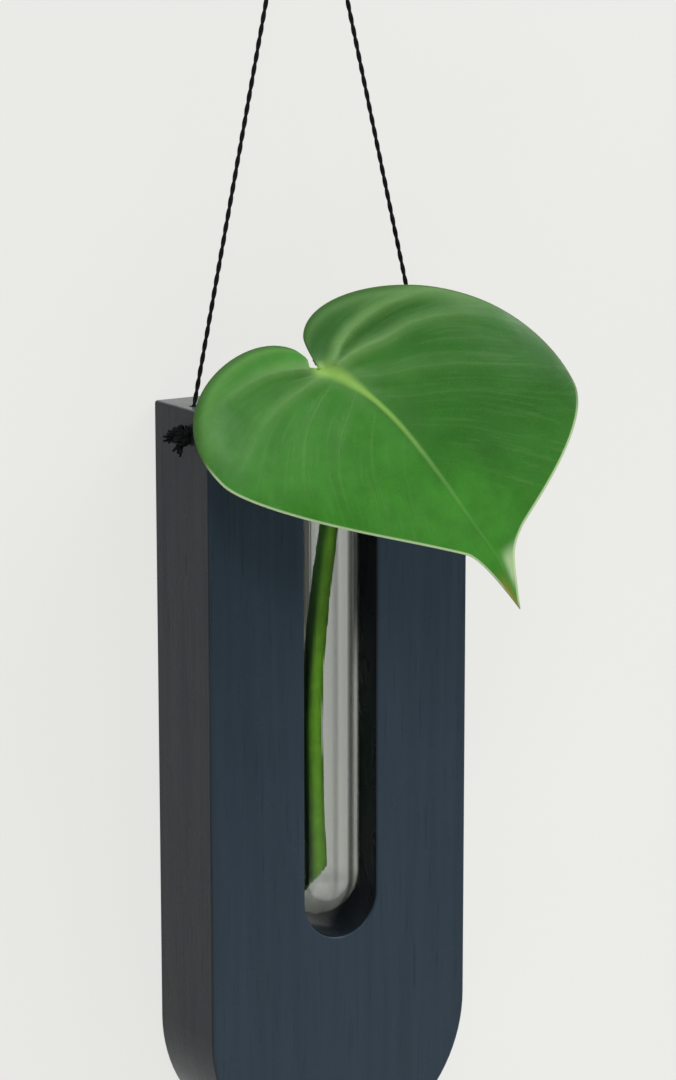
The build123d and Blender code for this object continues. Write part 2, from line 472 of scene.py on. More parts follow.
def woodMaterial():
    material, shader, coords = newMaterial("stainedWood", Specular_IOR_Level=0.10)
    grain, fine = (useGroup(longFibres, coords, Stretch=wood["grainStretch"], Scale=wood[scale])
                   for scale in ("grainScale", "fineScale"))
    marks = useGroup(handlingMarks, coords, Scale=38.0, Clean=0.22, Dull=0.32)
    facing = addSplit(addNode("TexCoord", tree=shader.id_data).outputs["Normal"])
    spot = addSplit(coords)
    onSide = addRange(addMath("ABSOLUTE", facing["X"]), *wood["squareOn"])
    onTop = addProduct(addRange(facing["Z"], *wood["squareOn"]), addRange(spot["Z"], *wood["topFace"]))
    inSlot = addProduct(addRange(addMath("ABSOLUTE", spot["X"]), *wood["slotSide"]),
                        addRange(addMath("ABSOLUTE", facing["Y"]), *wood["turnedAway"]),
                        addRange(spot["Z"], *wood["slotTop"]), addRange(spot["Z"], *wood["slotFoot"]))

    colour = addTint(wood["stain"], *wood["deepStain"], grain["Streaks"])
    # partly painted shade: the side faces are painted darker
    colour = addTint(colour, *wood["sideToneAndShade"], onSide)
    # painted sheen: the top face is painted lighter
    sheenShare = addMath("MULTIPLY_ADD", marks["Patches"], *wood["sheenShare"])
    colour = addTint(colour, wood["topSheen"], sheenShare, onTop)
    banded = addMath("MULTIPLY_ADD", fine["Threads"], *wood["banded"])
    colour = addTint(colour, *wood["sideStreak"], grain["Streaks"], banded, onSide)
    # painted shade inside the slot
    colour = addTint(colour, *wood["slotShade"], inSlot)
    pores = addRange(fine["Streaks"], *wood["poreSpan"])
    colour = addTint(colour, wood["pore"], addMath("MULTIPLY_ADD", onSide, *wood["poreShare"]), pores)
    height = addMath("SUBTRACT", addProduct(fine["Height"], wood["threadHeight"]), pores)
    height = addProduct(height, addMath("MULTIPLY_ADD", onSide, *wood["rough"]))
    plug(shader, Base_Color=colour, Roughness=marks["Roughness"],
         Normal=addBump(height, strength=0.20, depth=0.10 * mm))
    return material


dressNode("wooden_block", woodMaterial())
print("block stained")


# wall nail, the CAD node in zinc-plated steel

nail = {"zinc": paint(176, 178, 180), "darkZinc": paint(128, 130, 134)}


def nailMaterial():
    material, shader, coords = newMaterial("nailSteel", Metallic=1.0)
    marks = useGroup(handlingMarks, coords, Scale=420.0, Clean=0.26, Dull=0.48)
    drawn = useGroup(longFibres, coords, Stretch=(1, 0.06, 1), Scale=1500.0)
    plug(shader, Base_Color=addMix(marks["Patches"], nail["zinc"], nail["darkZinc"]),
         Roughness=marks["Roughness"], Normal=addBump(drawn["Height"], strength=0.25, depth=0.03 * mm))
    return material


dressNode("wall_nail", nailMaterial())
print("nail plated")


# glass tube with a rolled rim, and the water in it

tube = {
    # lengths and heights in mm
    "axis": (0.0, -14.5),
    "outerRadius": 12.5, "wall": 1.2,
    "rimRadius": 14.2, "rimHeight": 3.5, "rimRound": 1.1, "lipRound": 0.5,
    "endCentre": -285.0,  # centre of the round end
    "rest": -151.0,  # the rim's underside, on the block
    "ringsUp": (2.0, 60.0), "ringsDown": (30.0, 1.0),  # divisions of the wall above endCentre and below rest
    "waterLevel": -163.0, "meniscus": 1.4, "overlap": 0.04, "waterRing": 10.0,
    "sides": 96, "endSteps": 20, "rimSteps": 8, "lipSteps": 6,
    # drawn is the dark tint of the painted shade lines and of the painted shade at the round end
    "clear": (0.985, 0.990, 0.985, 1), "streaked": (0.72, 0.72, 0.71, 1), "drawn": (0.16, 0.165, 0.16, 1),
    # painted shade lines, dark bands that stand in for refraction and shadow in the tube: degrees round the
    # axis, half width, strength
    "shadeLines": [(-64, 9.0, 0.97), (-91, 5.0, 0.42), (-106, 9.0, 0.10), (-126, 11.0, 0.30), (24, 4.0, 0.6),
                  (128, 7.0, 0.5)],
    "lineCore": 0.3,  # share of a line's half width that has its full strength
    # the round end is painted darker, as painted shade
    "endShadeSpan": (-284.0, -294.0), "endShadeShare": 0.55,
    "shadowTint": (0.90, 0.91, 0.90, 1),
    "water": paint(252, 254, 252), "cloudedWater": paint(247, 252, 246),
}


def drawLine(bm, vert, radius, height):
    vert = bmesh.ops.extrude_vert_indiv(bm, verts=[vert])["verts"][0]
    vert.co = (radius, 0, height)
    return vert


def drawArc(bm, vert, radius, height, degrees, steps):
    made = bmesh.ops.spin(bm, geom=[vert], cent=(radius, 0, height), axis=(0, 1, 0),
                          angle=radians(degrees), steps=steps)
    return made["geom_last"][0]


def turnProfile(bm):
    # the half profile, drawn in mm beside the tube's axis, goes once round it
    bmesh.ops.spin(bm, geom=bm.verts[:] + bm.edges[:], cent=(0, 0, 0), axis=(0, 0, 1), angle=tau,
                   steps=tube["sides"], use_merge=True)
    bmesh.ops.remove_doubles(bm, verts=bm.verts[:], dist=0.001)
    bmesh.ops.recalc_face_normals(bm, faces=bm.faces[:])
    bmesh.ops.translate(bm, vec=(*tube["axis"], 0), verts=bm.verts[:])
    bmesh.ops.scale(bm, vec=(mm, mm, mm), verts=bm.verts[:])


def letLightThrough(shader):
    # lamps shine through clear walls, with only a faint shade
    tree = shader.id_data
    shadowRay = addNode("LightPath", tree=tree).outputs["Is Shadow Ray"]
    clear = addNode("BsdfTransparent", {"Color": tube["shadowTint"]}, tree).outputs[0]
    plug(tree.nodes["Material Output"], Surface=mixShaders(shadowRay, shader.outputs[0], clear))


def glassMaterial():
    material, shader, coords = newMaterial("clearGlass", IOR=1.47, Transmission_Weight=1.0)
    marks = useGroup(handlingMarks, coords, Scale=70.0, Clean=0.0, Dull=0.02)
    drawn = useGroup(longFibres, coords, Stretch=(1, 1, 0.004), Scale=300.0)
    spot = addSplit(coords)
    turn = addMath("ARCTAN2", addMath("SUBTRACT", spot["Y"], tube["axis"][1] * mm), spot["X"])
    # painted shade: the round end and some lines round the tube are tinted dark
    shade = addRange(spot["Z"], *[z * mm for z in tube["endShadeSpan"]], 0.0, tube["endShadeShare"])
    for degrees, width, strength in tube["shadeLines"]:
        off = addMath("ABSOLUTE", addMath("SUBTRACT", turn, radians(degrees)))
        edge = radians(width)
        line = addRange(off, edge, edge * tube["lineCore"], 0.0, strength)
        shade = addMath("MAXIMUM", shade, line)
    tint = addMix(addMath("POWER", drawn["Streaks"], 2.0), tube["clear"], tube["streaked"])
    tint = addMix(shade, tint, tube["drawn"])
    plug(shader, Base_Color=tint, Roughness=marks["Roughness"],
         Normal=addBump(drawn["Streaks"], strength=0.2, depth=0.10 * mm))
    letLightThrough(shader)
    return material


def waterMaterial():
    material, shader, coords = newMaterial("tubeWater", IOR=1.333, Transmission_Weight=1.0, Roughness=0.0)
    cloud = addNoise(coords, Scale=25.0, Detail=3.0)
    plug(shader, Base_Color=addMix(cloud, tube["water"], tube["cloudedWater"]))
    letLightThrough(shader)
    return material


def makeTube():
    outer, rest, end = tube["outerRadius"], tube["rest"], tube["endCentre"]
    inner = outer - tube["wall"]
    rim, turned, lip = tube["rimRadius"], tube["rimRound"], tube["lipRound"]
    top = rest + tube["rimHeight"]
    rings = [end + up for up in tube["ringsUp"]] + [rest - down for down in tube["ringsDown"]]
    bm = bmesh.new()
    v = bm.verts.new((0, 0, end - outer))
    v = drawArc(bm, v, 0, end, -90, tube["endSteps"])
    for height in rings + [rest]:
        v = drawLine(bm, v, outer, height)
    v = drawLine(bm, v, rim - turned, rest)
    v = drawArc(bm, v, rim - turned, rest + turned, -90, tube["rimSteps"])
    v = drawLine(bm, v, rim, top - turned)
    v = drawArc(bm, v, rim - turned, top - turned, -90, tube["rimSteps"])
    v = drawLine(bm, v, inner + lip, top)
    v = drawArc(bm, v, inner + lip, top - lip, -90, tube["lipSteps"])
    for height in rings[::-1] + [end]:
        v = drawLine(bm, v, inner, height)
    drawArc(bm, v, 0, end, 90, tube["endSteps"])
    turnProfile(bm)
    addPiece("glassTube", bm, "tube", "clear_glass", glassMaterial(), replaced=["glass_tube"])


def makeWater():
    wet = tube["outerRadius"] - tube["wall"] + tube["overlap"]
    level, creep, end = tube["waterLevel"], tube["meniscus"], tube["endCentre"]
    bm = bmesh.new()
    v = bm.verts.new((0, 0, end - wet))
    v = drawArc(bm, v, 0, end, -90, tube["endSteps"])
    for height in [end + up for up in tube["ringsUp"]] + [level - tube["waterRing"], level + creep]:
        v = drawLine(bm, v, wet, height)
    v = drawArc(bm, v, wet - creep, level + creep, 90, tube["rimSteps"])
    drawLine(bm, v, 0, level)
    turnProfile(bm)
    addPiece("tubeWater", bm, "tube", None, waterMaterial())


makeTube()
makeWater()
print("tube blown and filled")


# leaf blade, a heart with a drip tip, shaped from a grid

deepGreen, veinGreen, paleGreen = paint(30, 84, 14), paint(138, 178, 112), paint(192, 216, 168)

leaf = {
    "joint": (-16.5, -46.0, -138.35),  # mm, where the stalk meets the blade
    "alongRib": (0.439818, -0.52254, -0.730419), "toRight": (0.842897, -0.040537, 0.536546),
    "upper": (-0.309976, -0.851651, 0.422618),
    # edge curves as Bezier corners (along, right) in mm, from the notch to the tip
    # each with the share of the edge at which it ends
    "leftEdge": [(0.16, [(-0.6, -0.4), (-2.6, -0.9), (-6.0, -0.7), (-8.4, -1.5)]),
                 (0.46, [(-8.4, -1.5), (-21.9, -6.6), (-21.6, -41.8), (6.9, -40.3)]),
                 (0.86, [(6.9, -40.3), (19.0, -39.8), (52.9, -9.2), (61.4, -2.5)]),
                 (1.00, [(61.4, -2.5), (63.8, -0.4), (71.8, 0.0), (80.9, -0.1)])],
    "rightEdge": [(0.08, [(-0.6, -0.4), (-2.2, -0.3), (-7.9, 1.0), (-9.6, 2.4)]),
                  (0.56, [(-9.6, 2.4), (-23.6, 14.8), (6.7, 63.0), (44.4, 52.7)]),
                  (0.86, [(44.4, 52.7), (56.5, 49.6), (63.0, 18.6), (65.0, 14.2)]),
                  (1.00, [(65.0, 14.2), (68.0, 7.6), (69.2, 7.6), (80.9, -0.1)])],
    # how far the notch is let into the left lobe, mm, at places behind the joint
    "notch": [(-5.2, 0.0), (-4.2, 0.2), (-3.0, 1.0), (-2.2, 1.65), (-1.8, 1.35), (-0.6, 0.0)],
    "notchSide": -0.4, "notchSlant": 0.18, "notchFade": 4.0,
    "leftFan": 0.50, "rightFan": 0.35, "rowFan": 0.40,  # share of edges and rows that fans from the joint
    "crowding": 1.4,  # the rows of points lie closer towards the edge
    "rib": [(0.0, -0.35), (2.1, 1.7), (6.1, 3.5), (10.8, 4.7), (15.6, 5.6), (20.3, 6.1), (25.0, 6.3),
            (30.0, 6.2), (36.2, 5.9), (43.8, 5.4), (50.8, 4.7), (57.9, 4.1), (62.8, 3.9), (67.8, 3.4),
            (73.6, 1.9), (80.9, -0.1)],
    # side veins from the notch to the tip: how much each swells, how plain its fine line is, and its course
    "leftVeins": [
        (0.90, 0.3, [(0.2, -0.3), (-3.1, -3.7), (-6.1, -8.0), (-8.4, -12.9), (-9.5, -18.2), (-10.0, -22.9)]),
        (0.65, 0.3, [(1.3, -0.8), (1.0, -6.3), (0.6, -11.7), (0.8, -16.4), (1.5, -21.1), (3.5, -25.6)]),
        (0.12, 0.8, [(4.7, -0.3), (6.5, -6.6), (8.9, -12.2), (12.1, -16.7), (16.6, -20.9), (21.6, -24.4),
                     (26.4, -26.2)]),
        (0.08, 0.7, [(11.2, 2.1), (14.2, -3.5), (16.5, -7.9), (20.0, -11.9), (24.5, -15.5), (29.3, -17.9)]),
        (0.05, 0.6, [(17.8, 3.2), (20.6, -0.5), (24.0, -4.1), (28.9, -7.8), (35.0, -11.0)]),
        (0.00, 0.3, [(27.5, 5.0), (31.0, 1.4), (36.0, -2.2), (42.5, -5.4)])],
    "rightVeins": [
        (1.20, 0.5, [(0.9, 3.8), (-1.7, 7.9), (-3.2, 12.8), (-3.5, 19.1), (-2.9, 24.5), (-1.1, 32.2)]),
        (1.00, 0.6, [(1.5, 3.8), (1.6, 8.4), (2.5, 13.5), (3.9, 18.3), (4.8, 26.6), (7.2, 33.3),
                     (10.8, 39.7), (16.6, 46.5), (24.1, 52.7)]),
        (0.35, 0.5, [(7.0, 5.9), (10.9, 11.2), (13.4, 15.9), (15.2, 20.2), (20.2, 28.3), (26.7, 37.0)]),
        (0.10, 0.4, [(15.0, 7.2), (19.0, 12.0), (22.2, 17.2), (25.4, 22.8), (30.6, 30.0), (36.5, 36.0)]),
        (0.06, 0.3, [(25.0, 7.6), (28.6, 11.6), (32.6, 16.8), (37.4, 22.4), (43.5, 27.6)]),
        (0.00, 0.2, [(36.0, 7.2), (39.4, 10.4), (43.6, 14.4), (49.4, 18.6)])],
    # mm or shares: how the side veins swell, the valleys between the first two, and rows past the last one
    "veinRise": 1.05, "veinWidth": 2.6, "leftFade": 38.0, "rightFade": 62.0,
    "valleyDepth": 0.7, "valleyStart": 6.0, "valleyFade": 65.0, "leftValley": 0.45,
    "outerSpan": 9.0, "halfRow": 0.49,
    # mm or radians: the dome, the fold at the rib, the margin's turn, which is more at the back, and waves
    "domeRadius": 300.0, "domeMiddle": 24.0,
    "fold": 0.8, "foldWidth": 4.5, "foldStart": 8.0, "foldEnd": 84.0,
    "turn": 0.35, "backTurn": 0.45, "turnWidth": 2.2, "backTurnWidth": 1.3, "back": (14.0, -6.0),
    "turnFade": (74.0, 44.0), "turnStart": 12.0,
    "wave": 0.5, "waveTurn": 0.13, "leftWave": 0.2, "rightWave": 1.4, "waveWidth": 7.0,
    "waveFade": (70.0, 40.0),
    "edgeEase": 8.0, "ribEase": 2.5, "ribReach": 12.0,
    "thickness": 0.55,
    "across": 96, "along": 120,
    "green": paint(40, 103, 24), "lighterGreen": paint(61, 136, 39), "ribGreen": paint(146, 190, 88),
    "dullMargin": paint(66, 100, 44), "under": paint(104, 148, 84),
    # where it is painted lighter, has a rim and has a pale rim: spans of what its points carry, lengths in mm
    "paintedLighter": [[("reach", 0.45, -0.5)], [("along", 40, 64, 0.0, 0.9)], [("along", 28, 50), ("ribGap", 15, 6)]],
    "rim": [("edgeGap", 0.8, 0.35)], "rimShare": 0.8,
    "paleRim": [[("reach", 0.0, -0.4), ("along", -2, 6)], [("along", 42, 56)]],
    # layers in their order, each with its colour, the share that it covers, and such spans or bare values
    # the swollen veins are painted paler: partly their own colour, partly a painted sheen
    "layers": {"mottle": (deepGreen, 0.28, ("mottle",)), "swell": (veinGreen, 0.50, ("swell",)),
               # the valleys between the first two veins are painted darker, as painted shade
               "valley": (deepGreen, 0.75, ("valley",)),
               "lowRight": (deepGreen, 0.35, ("reach", 0.5, 1.0), ("along", 14, 30)),
               "byNotch": (deepGreen, 0.5, ("veinRow", -0.12, -0.42), ("reach", 0.02, 0.15)),
               # a thin painted sheen lies on the upper margins of both lobes
               "bloom": (veinGreen, 0.3, ("edgeGap", 10, 1), ("outward", 0.4, 0.8), ("upward", 12, 0)),
               # the margins at the back are painted darker, as painted shade where they turn away
               "backRim": (deepGreen, 0.7, ("edgeGap", 3.5, 0.4), ("along", 2, -8)),
               # each side vein has a fine pale line, and finer ones lie between them
               "thin": (veinGreen, 0.10, ("veinGap", 0.5, 0.1), ("veinLine",), ("edgeGap", 3.0, 14.0)),
               "fine": (veinGreen, 0.08, ("streaks", 0.48, 0.70), ("ribGap", 3.0, 14.0)),
               "net": (veinGreen, 0.04, ("net",)),
               "halo": (veinGreen, 0.25, ("ribGap", 6, 0.5), ("along", 20, 2))},
    "tipLayers": {"dryTip": (paint(132, 124, 50), 0.85, ("along", 68, 78), ("reach", 0.2, -0.3)),
                  # the pale patch on the tip's right side is a painted highlight
                  "paleTip": (paleGreen, 0.7, ("along", 65, 69.5), ("along", 78, 72), ("reach", 0.05, 0.55))},
    # mm along the rib and what the rib's width or paleness is there
    "ribBase": (16, 1, 0.0, 1.05), "ribWidth": (0, 62, 0.72, 0.42), "ribShow": (64, 2, 0.06, 0.85),
    "ribFade": (18, 48), "underRib": (0, 66, 2.0, 0.35),
    "ribEdge": (1.8, 0.1), "underRibEdge": (1.4, 0.4),  # in widths of the rib
    "heights": {"rib": 0.7, "thin": -0.30, "fine": -0.04, "net": -0.05, "mottle": 0.35},
    "sheenSlant": 8.0, "streakSteps": {"veinRow": 7.0, "reach": 2.5},
}

leafValues = ("ribGap", "edgeGap", "along", "reach", "swell", "valley", "veinRow", "veinSpan", "veinLine")


def bezier(corners, t):
    a, b, c, d = (Vector(p) for p in corners)
    s = 1 - t
    return a * s ** 3 + b * 3 * s * s * t + c * 3 * s * t * t + d * t ** 3


def edgePoint(side, t):
    start = 0.0
    for stop, corners in leaf[side + "Edge"]:
        if t <= stop + 1e-9:
            break
        start = stop
    return bezier(corners, min(1.0, (t - start) / (stop - start)))


def leafFrame():
    return [Vector(leaf[name]) for name in ("joint", "alongRib", "toRight", "upper")]


def letInNotch(place):
    # moves the left lobe aside at the notch, less and less further from it
    depth = readTable(leaf["notch"], place.x)
    side = leaf["notchSide"] + leaf["notchSlant"] * (place.x - leaf["notch"][-1][0])
    return Vector((place.x, place.y - depth * exp(-max(0.0, side - place.y) / leaf["notchFade"])))


def lineGap(line, place):
    # mm from a line, which runs on past its end, positive on the tip's side of a vein that runs to the right
    best, sign = inf, 1.0
    for a, b in zip(line, line[1:]):
        run, off = b - a, place - a
        share = max(0.0, off.dot(run) / run.length_squared)
        near = a + run * (share if b is line[-1] else min(1.0, share))
        gap = (place - near).length
        if gap < best:
            best, sign = gap, run.y * off.x - run.x * off.y
    return copysign(best, sign)


def veinPlace(veins, place, side):
    # how much the veins swell here, the row among them, the mm from row to row, and how plain the line is
    gaps = [lineGap(line, place) * (1 if side == "right" else -1) for _, _, line in veins]
    swell = max(rise * exp(-(gap / leaf["veinWidth"]) ** 2) for (rise, _, _), gap in zip(veins, gaps))
    swell *= ramp(place.length, leaf[side + "Fade"], 0.0)
    after = [k for k, gap in enumerate(gaps) if gap < 0]
    k = (after[0] if after else len(gaps)) - 1
    if k < 0 or k == len(gaps) - 1:
        k, span = max(k, 0), leaf["outerSpan"]
        row = k + max(-leaf["halfRow"], min(leaf["halfRow"], gaps[k] / span))
    else:
        span = gaps[k] - gaps[k + 1]
        row = k + gaps[k] / span
    return swell, row, span, veins[min(round(row), len(veins) - 1)][1]


def valleyPlace(row, place, side):
    # 1 at most, half way between the first two veins
    valley = sin(pi * row) if 0 < row < 1 else 0.0
    valley *= ramp(place.length, leaf["valleyFade"], 0.0) * ramp(place.length, 0.0, leaf["valleyStart"])
    return valley * (leaf["leftValley"] if side == "left" else 1.0)


def domeHeight(along, beside):
    return -((along - leaf["domeMiddle"]) ** 2 + beside * beside) / (2 * leaf["domeRadius"])


def leafHeight(place, ribGap, edgeGap, swell, valley):
    # mm above the blade's plane
    u, v = place
    fold = leaf["fold"] * exp(-(ribGap / leaf["foldWidth"]) ** 2)
    fold *= ramp(u, 0.0, leaf["foldStart"]) * ramp(u, leaf["foldEnd"], 0.0)
    veins = swell * leaf["veinRise"] * ramp(ribGap, 0.0, leaf["ribEase"])
    back = ramp(u, *leaf["back"])
    turnWidth = leaf["turnWidth"] + leaf["backTurnWidth"] * back
    turned = (leaf["turn"] + leaf["backTurn"] * back) * exp(-edgeGap / turnWidth)
    turned *= ramp(u, *leaf["turnFade"]) * ramp(place.length, 0.0, leaf["turnStart"])
    start = leaf["rightWave" if v > 0 else "leftWave"]
    wave = leaf["wave"] * sin(u * leaf["waveTurn"] + start) * exp(-edgeGap / leaf["waveWidth"])
    wave *= ramp(u, *leaf["waveFade"]) * ramp(ribGap, 0.0, leaf["ribReach"])
    return domeHeight(u, v) - fold + veins - leaf["valleyDepth"] * valley - turned + wave


def leafMaterial():
    material, shader, coords = newMaterial("leafTop", Specular_IOR_Level=0.20, Subsurface_Weight=0.06,
                                           Subsurface_Scale=0.0015)
    cells = useGroup(plantCells, coords, Scale=1300.0)
    marks = useGroup(handlingMarks, coords, Scale=45.0, Clean=0.27, Dull=0.42)
    read = readAttributes(shader.id_data, *leafValues)
    read["mottle"] = cells["Mottle"]
    read["net"] = cells["Net"]
    read["outward"] = addMath("ABSOLUTE", read["reach"])
    read["upward"] = addMath("SUBTRACT", read["along"], addProduct(read["reach"], leaf["sheenSlant"]))
    nearest = addMath("ROUND", read["veinRow"])
    offRow = addMath("ABSOLUTE", addMath("SUBTRACT", read["veinRow"], nearest))
    read["veinGap"] = addProduct(offRow, read["veinSpan"])
    steps = [addProduct(read[name], step) for name, step in leaf["streakSteps"].items()]
    drawn = addNode("CombineXYZ", dict(enumerate(steps))).outputs[0]
    read["streaks"] = addNoise(drawn, Scale=1.0, Detail=3.0, Roughness=0.6)

    masks = {}

    def within(spans):
        return addProduct(*[addRange(read[name], *span) if span else read[name] for name, *span in spans])

    def largest(places):
        return addChain("MAXIMUM", *[within(spans) for spans in places])

    def lay(colour, layers):
        for name, (target, share, *spans) in layers.items():
            masks[name] = within(spans)
            colour = addTint(colour, target, share, masks[name])
        return colour

    # the left half is painted lighter than the right, as painted light, and the tip is lighter; the swollen
    # veins are paler, partly a painted sheen
    colour = addMix(largest(leaf["paintedLighter"]), leaf["green"], leaf["lighterGreen"])
    colour = lay(colour, leaf["layers"])
    # the rib narrows to the tip, and the margin is pale only along the lower edges
    ribWidth = addMath("ADD", addRange(read["along"], *leaf["ribWidth"], kind="LINEAR"),
                       addRange(read["along"], *leaf["ribBase"]))
    masks["rib"] = addRange(addMath("DIVIDE", read["ribGap"], ribWidth), *leaf["ribEdge"])
    ribColour = addMix(addRange(read["along"], *leaf["ribFade"]), leaf["ribGreen"], veinGreen)
    colour = addTint(colour, ribColour, addRange(read["along"], *leaf["ribShow"]), masks["rib"])
    rimColour = addMix(largest(leaf["paleRim"]), leaf["dullMargin"], paleGreen)
    colour = addTint(colour, rimColour, leaf["rimShare"], within(leaf["rim"]))
    colour = lay(colour, leaf["tipLayers"])

    height = 0.0
    for name, rise in leaf["heights"].items():
        height = addMath("MULTIPLY_ADD", masks[name], rise, height)
    plug(shader, Base_Color=colour, Roughness=marks["Roughness"],
         Normal=addBump(height, strength=0.40, depth=0.22 * mm))
    return material


def underMaterial():
    material, shader, coords = newMaterial("leafUnder", Specular_IOR_Level=0.35)
    read = readAttributes(shader.id_data, "ribGap", "along", "swell")
    cells = useGroup(plantCells, coords, Scale=1300.0)
    marks = useGroup(handlingMarks, coords, Scale=45.0, Clean=0.5, Dull=0.65)
    colour = addTint(leaf["under"], leaf["lighterGreen"], 0.4, cells["Mottle"])
    ribWidth = addRange(read["along"], *leaf["underRib"], kind="LINEAR")
    ribMask = addRange(addMath("DIVIDE", read["ribGap"], ribWidth), *leaf["underRibEdge"])
    raised = addMath("MAXIMUM", ribMask, addProduct(read["swell"], 0.6))
    colour = addMix(raised, colour, leaf["ribGreen"])
    height = addMath("MULTIPLY_ADD", cells["Net"], 0.15, raised)
    plug(shader, Base_Color=colour, Roughness=marks["Roughness"],
         Normal=addBump(height, strength=0.5, depth=0.3 * mm))
    return material


def makeLeaf():
    joint, alongRib, toRight, upper = leafFrame()
    ribLine = [Vector(p) for p in leaf["rib"]]
    veins = {side: [(rise, plain, [Vector(p) for p in line]) for rise, plain, line in leaf[side + "Veins"]]
             for side in ("left", "right")}
    bm = bmesh.new()
    bmesh.ops.create_grid(bm, x_segments=leaf["across"], y_segments=leaf["along"], size=1.0)
    layers = {name: bm.verts.layers.float.new(name) for name in leafValues}
    for vert in bm.verts:
        x, climb = vert.co.x, (vert.co.y + 1) / 2
        side = "right" if x > 0 else "left"
        fan, rowFan = leaf[side + "Fan"], leaf["rowFan"]
        beyond = max(0.0, (climb - rowFan) / (1 - rowFan))
        edge = edgePoint(side, climb / rowFan * fan if climb < rowFan else fan + (1 - fan) * beyond)
        along = leaf["rib"][-1][0] * beyond ** 2
        rib = Vector((along, readTable(leaf["rib"], along)))
        place = rib.lerp(edge, 1 - (1 - abs(x)) ** leaf["crowding"])
        if side == "left":
            place, edge = letInNotch(place), letInNotch(edge)
        ribGap = min(abs(lineGap(ribLine, place)), (place - rib).length)
        edgeGap = (edge - place).length
        swell, row, span, plain = veinPlace(veins[side], place, side)
        swell *= ramp(edgeGap, 0.0, leaf["edgeEase"])
        valley = valleyPlace(row, place, side)
        values = (ribGap, edgeGap, place.x, x, swell, valley, row, span, plain)
        for name, value in zip(leafValues, values):
            vert[layers[name]] = value
        vert.co = (joint + alongRib * place.x + toRight * place.y
                   + upper * leafHeight(place, ribGap, edgeGap, swell, valley)) * mm
    bmesh.ops.remove_doubles(bm, verts=bm.verts[:], dist=0.02 * mm)
    bmesh.ops.recalc_face_normals(bm, faces=bm.faces[:])
    if sum((f.normal * f.calc_area() for f in bm.faces), Vector()).dot(upper) < 0:
        bmesh.ops.reverse_faces(bm, faces=bm.faces[:])
    piece = addPiece("leafBlade", bm, "cutting", "green_leaf", leafMaterial(), underMaterial(),
                     replaced=["leaf_blade"])
    wall = piece.modifiers.new("thickness", "SOLIDIFY")
    wall.thickness = leaf["thickness"] * mm
    wall.offset = -1.0
    wall.material_offset = 1


makeLeaf()
print("leaf unfolded")


# leaf stalk, from the tube's foot up over the rim to the leaf

stalk = {
    # mm, along the CAD stem's line
    "route": [(4.35, -8.0, -291.6), (3.91, -8.47, -279.2), (-0.10, -13.1, -225.1), (3.55, -20.99, -158.95),
              (4.75, -23.59, -137.14), (-9.31, -40.41, -139.0), (-15.65, -47.99, -139.84)],
    "radii": [(0.0, 1.7), (0.015, 2.05), (0.3, 2.1), (0.8, 2.05), (1.0, 1.7)],  # share of the length, mm
    "splineSteps": 40, "step": 1.2 * mm, "roundness": 8,
    "underTop": 0.35,  # mm that its end stays below the blade's upper side
    "cut": (4.3, -8.1, -288.0), "cutFacing": (0.74, -0.46, -0.495),  # the slanting cut at the foot
    "litSide": (0.85, -0.53, 0.0),  # this side is painted lighter and yellower, as painted light, and the far side darker, as painted shade
    "litSpan": (-0.50, 0.25),
    # the stalk is painted brighter below the water line, and its shaded side lighter towards the top, as
    # painted light
    "bright": paint(96, 156, 46), "brightInWater": paint(160, 248, 50), "waterline": (-150 * mm, -166 * mm),
    "deep": paint(20, 56, 10), "deepAbove": paint(84, 165, 52), "openShade": (-228 * mm, -200 * mm),
    "pale": paint(150, 205, 84), "paleThreads": (0.3, 0.02),  # share added on the lit side, and elsewhere
    "mottled": 0.25,
}


def stalkMaterial():
    material, shader, coords = newMaterial("greenStalk", Roughness=0.38, Specular_IOR_Level=0.3,
                                           Subsurface_Weight=0.04, Subsurface_Scale=0.002)
    fibres = useGroup(longFibres, coords, Stretch=(1, 1, 0.03), Scale=900.0)
    cells = useGroup(plantCells, coords, Scale=1500.0)
    # painted light and shade: lit and shaded sides are put into the colour
    side = addRange(readAttributes(shader.id_data, "facingLight")["facingLight"], *stalk["litSpan"])
    height = addSplit(coords)["Z"]
    lit = addMix(addRange(height, *stalk["waterline"]), stalk["bright"], stalk["brightInWater"])
    shaded = addMix(addRange(height, *stalk["openShade"]), stalk["deep"], stalk["deepAbove"])
    colour = addMix(side, shaded, lit)
    ribbed = addMath("MULTIPLY_ADD", side, *stalk["paleThreads"])
    colour = addTint(colour, stalk["pale"], ribbed, fibres["Threads"])
    colour = addTint(colour, stalk["deep"], stalk["mottled"], cells["Mottle"])
    plug(shader, Base_Color=colour, Normal=addBump(fibres["Height"], strength=0.3, depth=0.15 * mm))
    return material


